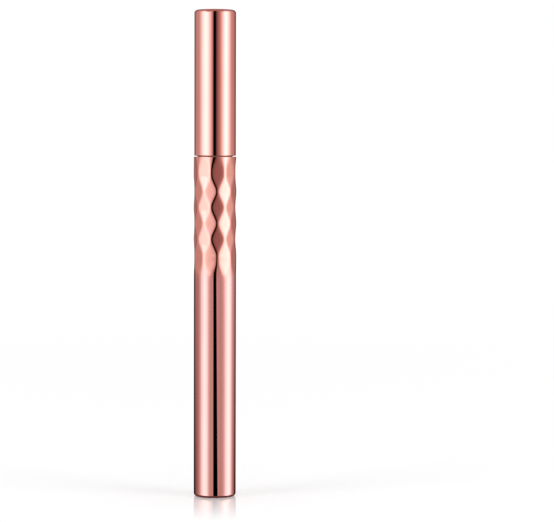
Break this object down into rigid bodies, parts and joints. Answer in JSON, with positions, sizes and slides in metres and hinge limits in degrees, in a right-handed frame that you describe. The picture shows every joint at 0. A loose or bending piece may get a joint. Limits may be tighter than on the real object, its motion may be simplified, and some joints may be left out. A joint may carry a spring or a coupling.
{
  "type": "eyeliner pen",
  "caption": "Slim capped liquid eyeliner pen: rose gold mirror barrel with a faceted grip, matching pull-off cap, black cone front with a fine fibre point, ink tank and feed inside.",
  "frame": {"origin": "centre of the barrel's flat base, the lowest point of the pen", "axes": "+Z along the pen towards the cap, -Y towards the viewer of the picture, +X to the picture's right"},
  "size_m": [0.0122, 0.012, 0.1392],
  "materials": {
    "rose_gold": "polished",
    "black_plastic": "satin",
    "black_rubber": "matte",
    "black_fibre": "matte",
    "wick_fibre": "matte",
    "natural_plastic": "satin",
    "steel": "polished"
  },
  "bodies": {
    "pen": {"barrel_shell": "rose_gold", "neck_sleeve": "rose_gold", "holder_base": "black_plastic", "seal_ring": "black_rubber", "nib_holder": "black_plastic", "nib_sleeve": "black_plastic", "nib": "black_fibre", "ink_tank": "natural_plastic", "tank_plug": "natural_plastic", "tank_seal": "black_rubber", "collector": "natural_plastic", "feed_rod": "wick_fibre"},
    "cap": {"cap_shell": "rose_gold", "cap_liner": "natural_plastic", "cap_spring": "steel"},
    "inner_cap": {"inner_cap": "natural_plastic"},
    "ball_1": {"mixing_ball_1": "steel"},
    "ball_2": {"mixing_ball_2": "steel"}
  },
  "joints": [
    {"name": "cap_pull", "type": "slide", "parent": "pen", "child": "cap", "axis": [0, 0, 1], "range_m": [0, 0.04]},
    {"name": "inner_cap_float", "type": "slide", "parent": "cap", "child": "inner_cap", "axis": [0, 0, -1], "range_m": [0, 0.0012], "deforming": ["cap_spring"]},
    {"name": "ball_1_run", "type": "slide", "parent": "pen", "child": "ball_1", "axis": [0, 0, 1], "range_m": [0, 0.0685]},
    {"name": "ball_2_run", "type": "slide", "parent": "pen", "child": "ball_2", "axis": [0, 0, 1], "range_m": [0, 0.0685]}
  ],
  "couplings": [
    {"joint": "inner_cap_float", "follows": "cap_pull", "ratio": 0.03}
  ]
}
